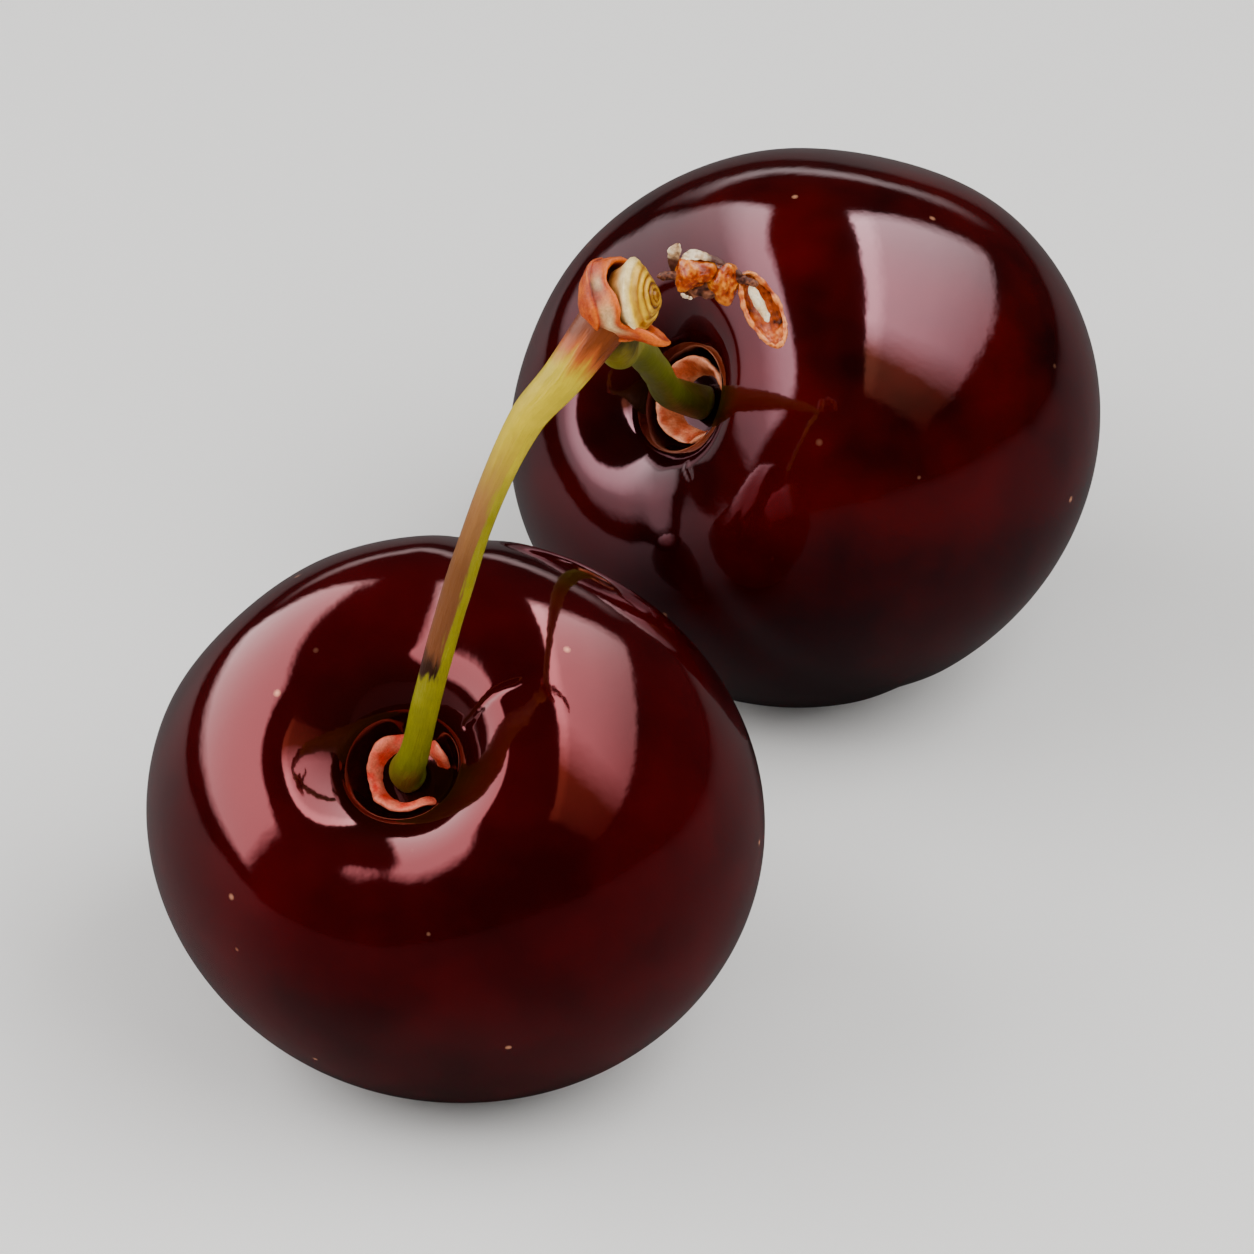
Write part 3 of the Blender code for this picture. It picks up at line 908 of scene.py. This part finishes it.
# %% [markdown]
# ## Ring scars
# Each year's bud leaves one fine ring round the spur, and the broken end shows them one inside the
# other, like the edge of a stack of coins. The outline of the end is a low dome with small steps, and
# the colour follows the distance from the middle, which was stored before the piece was put in place.

# %% The ringed knob
KNOB_RADIUS = 1.74
KNOB_FACE = 0.98        # how far out of the spur's centre the broken end begins
KNOB_DOME = 0.76        # how far the middle of the broken end bulges out
RINGS = 6
knob_outline = [(0.0, -0.30), (1.28, -0.30), (1.36, 0.10), (1.44, 0.38), (1.58, 0.60), (1.71, 0.76),
                (KNOB_RADIUS + 0.03, 0.88), (KNOB_RADIUS, KNOB_FACE)]
for ring in range(RINGS):
    outer = KNOB_RADIUS * (1 - (ring + 0.35) / RINGS)
    level = KNOB_FACE + KNOB_DOME * (1 - (outer / KNOB_RADIUS) ** 2)
    knob_outline += [(outer + 0.08, level - 0.10), (outer, level + 0.05), (outer - 0.09, level + 0.04)]
knob_outline.append((0.0, KNOB_FACE + KNOB_DOME))
knob = turn_outline("ringed_knob", knob_outline, SPUR_STEPS)
for around, by, reach in ((20, (-0.20, 0, -0.05), 1.4), (250, (0.05, 0.22, -0.10), 1.1),
                          (95, (0.05, 0.12, 0.1), 1.0)):
    pull(knob, polar(1.7, around, 0.9), Vector(by) * MM, reach * MM)
note_turn(knob)
weather(knob, (0.8, 0.09), (0.22, 0.022))

# %% The knob's finish


def knob_material():
    """Rings by the distance from the middle, cream on the rim, brown down the side, and painted shade in
    the hollows.
    """
    material, tree, shader = new_material("ringed_spur_wood")
    grain = cloudy(tree, own_place(tree), 2300.0, 4.0, 0.6)
    end = ramp(tree, scaled(tree, read(tree, "radius"), 0.5), (
        (0.05, (0.20, 0.060, 0.002)), (0.18, (0.52, 0.27, 0.003)), (0.28, (0.20, 0.060, 0.002)),
        (0.40, (0.76, 0.44, 0.004)), (0.48, (0.26, 0.085, 0.002)), (0.58, (0.82, 0.50, 0.006)),
        (0.66, (0.38, 0.15, 0.004)), (0.79, (0.84, 0.52, 0.020)), (0.87, (0.92, 0.70, 0.28))))
    side = ramp(tree, scaled(tree, read(tree, "height"), 0.5), (
        (0.05, (0.30, 0.09, 0.015)), (0.22, (0.62, 0.30, 0.08)), (0.38, (0.95, 0.74, 0.36))))
    outer = ramp(tree, scaled(tree, read(tree, "height"), 0.5), ((0.44, BLACK), (0.50, WHITE)))
    # Painted shade: the hollows are darkened.
    hollow = ramp(tree, read(tree, "hollow"), ((0.50, WHITE), (0.66, (0.42, 0.24, 0.10))))
    speck = ramp(tree, grain, ((0.34, (0.62, 0.52, 0.36)), (0.60, WHITE)))
    colour = times(tree, times(tree, mix(tree, outer, side, end), hollow, 0.85), speck, 0.7)
    tree.links.new(colour, shader.inputs["Base Color"])
    relief(tree, shader, grain, 0.5, 0.00006)
    shader.inputs["Roughness"].default_value = 0.38
    shader.inputs["Specular IOR Level"].default_value = 0.3
    return material


finish_piece(knob, spur_place, "ring_scar_knob", knob_material(), crease=40)

# %% [markdown]
# ## Crumpled scales
# The dry scales are thin and brittle, folded over each other like scorched paper. Two swollen folds
# make an arch, a dark core holds them together from below, and a pale torn edge runs along the top.

# %% Model a lump
LUMP_PULL = 0.12 * MM   # a pull takes hold of all points this close to its place


def start_lump(name, half_sizes):
    """A ball squeezed to its half sizes in millimetres. Ends in edit mode, ready to be pulled."""
    piece = start_piece(name, bpy.ops.mesh.primitive_ico_sphere_add, subdivisions=4, radius=MM)
    bpy.ops.transform.resize(value=half_sizes)
    return piece


def model_lump(name, offset, half_sizes, pulls, coarse, fine, node, material):
    """Each pull is (direction from the middle, millimetres to move it, reach)."""
    piece = start_lump(name, half_sizes)
    for direction, by, reach in pulls:
        near = furthest(piece, Vector(direction).normalized())
        pull(piece, near, Vector(by) * MM, reach * MM, within=LUMP_PULL)
    weather(piece, coarse, fine)
    finish_piece(piece, Matrix.Translation(spur_centre + Vector(offset) * MM), node, material)


# %% The folds, the core and the fibres that join them
fold_finish = tissue_material("scorched_fold", (0.020, 0.002, 0.0005), (0.36, 0.040, 0.002),
                              (0.74, 0.22, 0.010), 0.16, gloss=0.17, specular=0.55)
core_finish = tissue_material("dark_core", (0.020, 0.006, 0.004), (0.085, 0.020, 0.010),
                              (0.26, 0.085, 0.035), 0.14, gloss=0.5)
paper_finish = tissue_material("pale_papery_scale", (0.10, 0.035, 0.012), (0.58, 0.36, 0.18),
                               (0.90, 0.72, 0.48), 0.12, gloss=0.40, spread=0.40,
                               rusty=(0.080, 0.022, 0.012))

model_lump("bract_fold_inner", (3.22, 0.30, 1.20), (0.74, 0.80, 0.74),
           (((-0.6, 0, 0.8), (-0.10, 0.0, 0.15), 0.7), ((0.3, -0.8, -0.4), (0.10, 0.15, 0.2), 0.7),
            ((0.9, 0, 0.4), (0.25, 0, 0.10), 0.6), ((-0.9, -0.4, -0.2), (-0.08, 0, -0.25), 0.5)),
           (0.75, 0.20), (0.20, 0.030), "dried_bract_inner", fold_finish)
model_lump("bract_fold_outer", (4.55, 0.22, 0.72), (0.62, 0.72, 0.92),
           (((0.5, 0, 0.9), (0.15, 0, 0.05), 0.6), ((0.4, -0.7, -0.6), (0.05, 0.0, -0.2), 0.6),
            ((-0.9, -0.3, 0), (-0.15, 0.1, 0), 0.5)),
           (0.65, 0.18), (0.20, 0.030), "dried_bract_outer", fold_finish)
model_lump("bract_core", (3.85, 0.45, 0.42), (0.95, 0.62, 0.46),
           (((-0.7, -0.5, -0.5), (-0.15, 0, -0.15), 0.5),),
           (0.5, 0.22), (0.18, 0.05), "dried_bract_inner", core_finish)
model_lump("bract_bridge", (2.28, 0.28, 1.02), (0.66, 0.28, 0.24),
           (((0.4, 0, 1), (0.10, 0, 0.20), 0.4), ((0, -0.6, -0.8), (-0.1, 0.05, 0.10), 0.4)),
           (0.4, 0.14), (0.15, 0.03), "dried_bract_inner", core_finish)
model_lump("bract_thread", (5.42, 0.12, 0.98), (0.52, 0.22, 0.20),
           (((1, 0, 0), (0.15, -0.15, -0.15), 0.5),),
           (0.4, 0.12), (0.15, 0.03), "dried_bract_outer", core_finish)

# %% [markdown]
# ## Thin torn edges
# Where a scale has worn through, only its pale, papery edge is left. Such an edge is a strip less than
# a fifth of a millimetre thick: one short line, extruded from spot to spot and made wider or narrower
# each time, and then given a wall.

# %% Model a thin strip
PAPER_BLEND = 0.12      # share of a strip's length over which rust turns into paper


def thicken(piece, thickness):
    """Give an open shape a wall, in millimetres, and turn all its faces outwards."""
    pick(piece)
    wall = piece.modifiers.new("wall", "SOLIDIFY")
    wall.thickness = thickness * MM
    wall.offset = 0
    bpy.ops.object.modifier_apply(modifier=wall.name)
    edit(piece)
    take_all()
    bpy.ops.mesh.normals_make_consistent(inside=False)
    object_mode()


def model_strip(name, spots, across, widths, thickness, rust_share, node, material):
    """A thin strip: one edge, extruded from spot to spot, each time made wider or narrower.

    The first share of its length is rusty brown, and the rest is pale paper.
    """
    spots = [Vector(spot) * MM for spot in spots]
    side = Vector(across).normalized() * MM
    piece = start_outline(name, spots[0] - side * widths[0] / 2)
    bpy.ops.mesh.extrude_region_move(TRANSFORM_OT_translate={"value": side * widths[0]})
    take_all()
    for number in range(1, len(spots)):
        bpy.ops.mesh.extrude_region_move(
            TRANSFORM_OT_translate={"value": spots[number] - spots[number - 1]})
        wider = widths[number] / widths[number - 1]
        bpy.ops.transform.resize(value=(wider,) * 3, center_override=spots[number])
    thicken(piece, thickness)
    subdivide_surface(piece, 3)
    way = spots[-1] - spots[0]
    share = (spots_of(piece) - np.array(spots[0])) @ np.array(way.normalized()) / way.length
    note(piece, "paper", np.clip((share - rust_share) / PAPER_BLEND, 0, 1))
    roughen(piece, 0.45, 0.10)
    roughen(piece, 0.15, 0.025)
    finish_piece(piece, Matrix.Translation(spur_centre), node, material)


model_strip("papery_edge", ((5.45, 0.08, 1.12), (5.00, 0.20, 1.44), (4.45, 0.32, 1.74), (3.95, 0.36, 1.98),
                            (3.40, 0.38, 2.12), (2.95, 0.40, 2.10), (2.62, 0.42, 1.86)),
            (0.1, 1.0, 0.30), (0.16, 0.26, 0.30, 0.40, 0.62, 0.66, 0.34), 0.17, 0.55,
            "papery_scale_high", paper_finish)
model_strip("papery_point", ((2.42, 0.45, 0.72), (2.38, 0.50, 1.25), (2.34, 0.55, 1.80), (2.36, 0.58, 2.30),
                             (2.55, 0.55, 2.72)),
            (0.9, -0.3, 0.0), (0.34, 0.46, 0.62, 0.60, 0.22), 0.17, 0.52,
            "papery_scale_low", paper_finish)
model_strip("papery_flake", ((2.62, -0.50, 0.66), (2.88, -0.58, 0.54), (3.20, -0.52, 0.42)),
            (0.1, -0.3, 0.9), (0.20, 0.38, 0.14), 0.14, -0.5,
            "papery_scale_front", paper_finish)

# %% [markdown]
# ## The hanging husk
# At the far end hangs one scale that has curled into a little boat, with a raised rim and a dry, pale core
# inside; the core's pale colour also stands in for the highlight inside the boat. Half a ball makes the
# boat:
# the ball's open side is cut away, the rim is rolled outwards, and the wall gets its thickness from a
# modifier.

# %% The husk
husk_place = frame_at(spur_centre + Vector((6.38, -0.72, -0.14)) * MM, Vector((-0.42, 0.62, 0.66)),
                      Vector((0.15, -0.80, 0.60)))
husk = start_piece("hanging_husk", bpy.ops.mesh.primitive_uv_sphere_add, segments=24, ring_count=16,
                   radius=MM)
bpy.ops.mesh.bisect(plane_co=(0, 0.30 * MM, 0), plane_no=(0, 1, 0), clear_outer=True)
take_all()
bpy.ops.transform.resize(value=(0.70, 0.46, 1.72))
rolled = select_points(husk, lambda spot: spot.y > 0.13 * MM)
bpy.ops.transform.resize(value=(1.12, 1.0, 1.03))
bpy.ops.transform.translate(value=(0, 0.05 * MM, 0))
for near, by in (((0, 0.1, 1.75), (0.10, 0.10, 0.22)), ((0, 0.1, -1.75), (0.10, 0.28, 0.05)),
                 ((0.78, 0.2, 0.3), (0.12, 0.02, 0))):
    pull(husk, Vector(near) * MM, Vector(by) * MM, 0.9 * MM)
thicken(husk, 0.20)
subdivide_surface(husk, 2)
roughen(husk, 0.6, 0.10)
roughen(husk, 0.18, 0.022)
print("points on the rolled rim:", rolled)
husk_finish = tissue_material("amber_husk", (0.030, 0.003, 0.001), (0.50, 0.075, 0.006),
                              (0.80, 0.26, 0.060), 0.15, gloss=0.20, specular=0.5)
finish_piece(husk, husk_place, "hanging_scale", husk_finish)

# %% The dry core inside the husk, whose pale colour is partly a painted highlight
husk_core = start_lump("husk_core", (0.23, 0.20, 0.86))
pull(husk_core, Vector((0, 0.1, 0.85)) * MM, Vector((0.02, 0.04, 0.15)) * MM, 0.6 * MM)
object_mode()
roughen(husk_core, 0.45, 0.12)
roughen(husk_core, 0.16, 0.02)
core_place = husk_place @ Matrix.Translation(Vector((0.10, 0.02, 0.36)) * MM)
# Its pale colour is partly the core's own and partly a painted highlight inside the boat.
core_pale_and_highlight = tissue_material("pale_husk_core_and_highlight", (0.26, 0.07, 0.015), (0.88, 0.62, 0.30),
                            (0.96, 0.84, 0.58), 0.12, gloss=0.20, specular=0.5)
finish_piece(husk_core, core_place, "hanging_scale", core_pale_and_highlight)

# %% [markdown]
# ## Handing over the fruits and the stalks
# The small pieces were handed over as they were finished. The fruits and stalks follow here: each one
# rides on the model's body and stands for its node.

# %% The fruits and the stalks ride along
ride_list = ((cherry_front, "cherry_front", "cherry_skin"), (cherry_back, "cherry_back", "cherry_skin"),
             (stalk_front, "stalk_front", "green_stalk"), (stalk_back, "stalk_back", "green_stalk"))
for piece, node, slot_name in ride_list:
    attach(piece, "root")
    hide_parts(node)
    print(piece.name, "stands for", node)

# %% [markdown]
# ## The floor
# The floor is a plain pale sheet, far bigger than the pair. Dark skin mirrors it, and a pale floor would
# turn the lower half of each fruit milky, so the floor has a second, dark colour for mirrored rays only.

# %% Floor
FLOOR_SIZE = 2.4        # metres
FLOOR_PALE = (0.88, 0.87, 0.85)
FLOOR_IN_SKIN = (0.035, 0.028, 0.028)     # how pale the floor looks when the skin mirrors it


def only_in_skin(tree, seen, mirrored):
    """One colour for what is seen or lit directly, and another for what glossy skin mirrors."""
    in_mirror = tree.nodes.new("ShaderNodeLightPath").outputs["Is Glossy Ray"]
    return mix(tree, in_mirror, seen, mirrored)


floor = start_piece("pale_floor", bpy.ops.mesh.primitive_plane_add, size=FLOOR_SIZE, location=(0, 0.4, 0))
object_mode()
bpy.ops.object.transform_apply(location=True, rotation=True, scale=True)
floor_material, floor_tree, floor_shader = new_material("pale_floor")
floor_tree.links.new(only_in_skin(floor_tree, FLOOR_PALE, FLOOR_IN_SKIN), floor_shader.inputs["Base Color"])
floor_shader.inputs["Roughness"].default_value = 0.65
floor.data.materials.append(floor_material)

print("floor in metres:", [round(side, 2) for side in floor.dimensions])

# %% [markdown]
# ## Soft boxes
# A cherry is a curved mirror, so the lights are modelled as carefully as the fruit: two big soft boxes
# stand left and right of the camera with a dark gap between them, and the skin shows both as long
# bright patches. In a studio, cloth hung before a box gives such a patch soft and darker ends, and
# here colour ramps across the box do that. The boxes that shine show in glossy skin only. Fainter
# ones light matt surfaces, so that the patches and the colours can be set apart from each other.

# %% A soft box and its cloth
target = front_place.translation.lerp(back_place.translation, 0.5)


def soft_box(name, azimuth, elevation, distance, width, height, power, shines):
    """An area light that looks at the pair; azimuth 0 is the camera's side, positive to the right.

    One that shines shows only in glossy skin, and one that doesn't only lights matt surfaces.
    """
    a, e = math.radians(azimuth), math.radians(elevation)
    way = Vector((math.sin(a) * math.cos(e), -math.cos(a) * math.cos(e), math.sin(e)))
    lamp = bpy.data.lights.new(name, "AREA")
    lamp.shape = "RECTANGLE"
    lamp.size = width
    lamp.size_y = height
    lamp.energy = power
    holder = bpy.data.objects.new(name, lamp)
    bpy.context.scene.collection.objects.link(holder)
    holder.visible_camera = False
    holder.visible_glossy = shines
    holder.visible_diffuse = not shines
    holder.matrix_world = facing_from(target + way * distance, way)
    return holder


def facing_from(spot, way):
    """Stand at a spot and look against the way, upright."""
    return Matrix.Translation(spot) @ way.to_track_quat("Z", "Y").to_matrix().to_4x4()


def veil(holder, across, upwards):
    """Hang a cloth before a box: colour stops from one end to the other and from bottom to top."""
    holder.data.use_nodes = True
    tree = holder.data.node_tree
    spot = tree.nodes.new("ShaderNodeSeparateXYZ")
    tree.links.new(tree.nodes.new("ShaderNodeNewGeometry").outputs["Parametric"], spot.inputs["Vector"])
    cloth = times(tree, ramp(tree, spot.outputs["X"], across), ramp(tree, spot.outputs["Y"], upwards))
    tree.links.new(cloth, tree.nodes["Emission"].inputs["Color"])


def light_only(holder, pieces):
    """Let a box light these pieces and nothing else."""
    group = bpy.data.collections.new(holder.name + "_pieces")
    for piece in pieces:
        group.objects.link(piece)
    holder.light_linking.receiver_collection = group


# %% Boxes that shine in the skin
LEFT_BOX = (-102, 34, 0.45, 0.86, 0.44)     # azimuth, elevation, distance, width and height
LEFT_ENDS = ((0.0, BLACK), (0.08, WHITE), (0.90, grey(0.9)), (1.0, BLACK))
left_shine = soft_box("left_shine", *LEFT_BOX, 7.4, shines=True)
left_shade = soft_box("left_shade", *LEFT_BOX, 6.8, shines=True)
right_shine = soft_box("right_shine", 92, 53, 0.45, 0.98, 0.44, 9.5, shines=True)
back_shine = soft_box("back_shine", 180, 12, 0.50, 0.60, 0.09, 0.20, shines=True)
veil(left_shine, LEFT_ENDS, ((0.0, BLACK), (0.14, grey(0.9)), (0.90, WHITE), (1.0, BLACK)))
veil(left_shade, LEFT_ENDS, (
    (0.0, BLACK), (0.12, grey(0.20)), (0.45, grey(0.32)), (0.75, grey(0.85)), (0.92, WHITE), (1.0, BLACK)))
veil(right_shine,
     ((0.0, BLACK), (0.05, (0.07, 0.04, 0.02)), (0.24, (0.13, 0.07, 0.035)), (0.40, (0.80, 0.78, 0.78)),
      (0.90, grey(0.9)), (1.0, BLACK)),
     ((0.0, BLACK), (0.05, (0.38, 0.35, 0.35)), (0.45, grey(0.78)), (0.78, WHITE), (0.87, grey(1.6)),
      (0.96, grey(1.7)), (1.0, BLACK)))
veil(back_shine, ((0.0, BLACK), (0.4, WHITE), (0.7, WHITE), (1.0, BLACK)),
     ((0.0, BLACK), (0.45, WHITE), (0.6, WHITE), (1.0, BLACK)))

# The back fruit's left cheek is duller, so it has a left box of its own, with a darker cloth.
light_only(left_shade, [cherry_back])
light_only(left_shine, [piece for piece in bpy.context.scene.objects
                        if piece.type == "MESH" and piece != cherry_back])

# %% Boxes that light matt surfaces, and the room
ROOM_PALE = (1.0, 0.98, 0.96)
ROOM_IN_SKIN = (0.12, 0.10, 0.10)
soft_box("left_fill", -80, 40, 0.60, 0.60, 0.50, 3.6, shines=False)
soft_box("right_fill", 60, 50, 0.60, 0.60, 0.50, 4.2, shines=False)
soft_box("front_fill", -10, 45, 0.80, 0.50, 0.50, 2.0, shines=False)
world = bpy.data.worlds.new("soft_room")
world.use_nodes = True
room_tree = world.node_tree
room = room_tree.nodes["Background"]
room.inputs["Strength"].default_value = 0.20
room_tree.links.new(only_in_skin(room_tree, ROOM_PALE, ROOM_IN_SKIN), room.inputs["Color"])
bpy.context.scene.world = world
print("lights:", sorted(lamp.name for lamp in bpy.data.lights))

# %% [markdown]
# ## The camera
# A long lens from half a metre away looks down on the pair, so that both fruits keep their true shapes.

# %% Camera
VIEW_ELEVATION = math.radians(36)
DISTANCE = 0.54
FRAME_WIDTH = 0.059     # how much of the world the picture shows across at the pair's distance
SENSOR = 36             # millimetres
camera_data = bpy.data.cameras.new("camera")
camera_data.sensor_width = SENSOR
camera_data.lens = SENSOR * DISTANCE / FRAME_WIDTH
camera_data.clip_start = 0.01
camera = bpy.data.objects.new("camera", camera_data)
bpy.context.scene.collection.objects.link(camera)
view_way = Vector((0, -math.cos(VIEW_ELEVATION), math.sin(VIEW_ELEVATION)))
aim = Vector((-0.0003, -0.0027, 0.0147))
camera.matrix_world = facing_from(aim + view_way * DISTANCE, view_way)
bpy.context.scene.camera = camera
print("lens in mm:", round(camera_data.lens))
